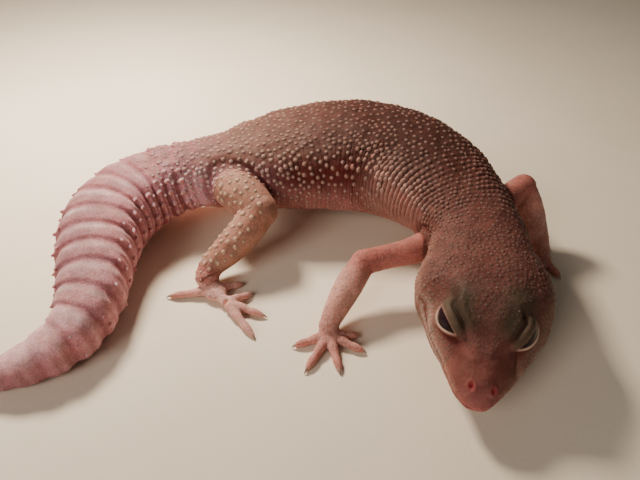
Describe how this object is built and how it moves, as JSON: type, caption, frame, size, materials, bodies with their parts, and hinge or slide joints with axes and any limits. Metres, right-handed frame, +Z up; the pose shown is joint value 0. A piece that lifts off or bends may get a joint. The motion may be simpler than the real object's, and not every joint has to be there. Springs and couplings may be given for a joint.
{
  "type": "leopard gecko",
  "caption": "Life-size leopard gecko standing with its body in a curve: head, neck, trunk, ringed fat tail, legs and spread toes.",
  "frame": {"origin": "middle of the model's plan outline, on the floor", "axes": "+Z up; the head faces -Y at the +X side, and the tail lies at the -X side"},
  "size_m": [0.1187, 0.0946, 0.0234],
  "materials": {
    "head_skin": "dry granular skin",
    "trunk_skin": "dry skin with raised pale scales",
    "tail_skin": "dry ringed skin",
    "limb_skin": "dry fine-scaled skin",
    "eye_gloss": "wet gloss"
  },
  "bodies": {
    "root": {"head_upper": "head_skin", "head_lower_jaw": "head_skin", "eye_left": "eye_gloss", "eye_right": "eye_gloss", "neck": "trunk_skin", "trunk_chest": "trunk_skin", "trunk_belly": "trunk_skin", "trunk_hips": "trunk_skin", "tail_base": "tail_skin", "tail_middle": "tail_skin", "tail_tip": "tail_skin", "arm_right": "limb_skin", "forearm_right": "limb_skin", "hand_right": "limb_skin", "arm_left": "limb_skin", "forearm_left": "limb_skin", "hand_left": "limb_skin", "thigh_right": "limb_skin", "shank_right": "limb_skin", "foot_right": "limb_skin", "thigh_left": "limb_skin", "shank_left": "limb_skin", "foot_left": "limb_skin"}
  },
  "joints": []
}
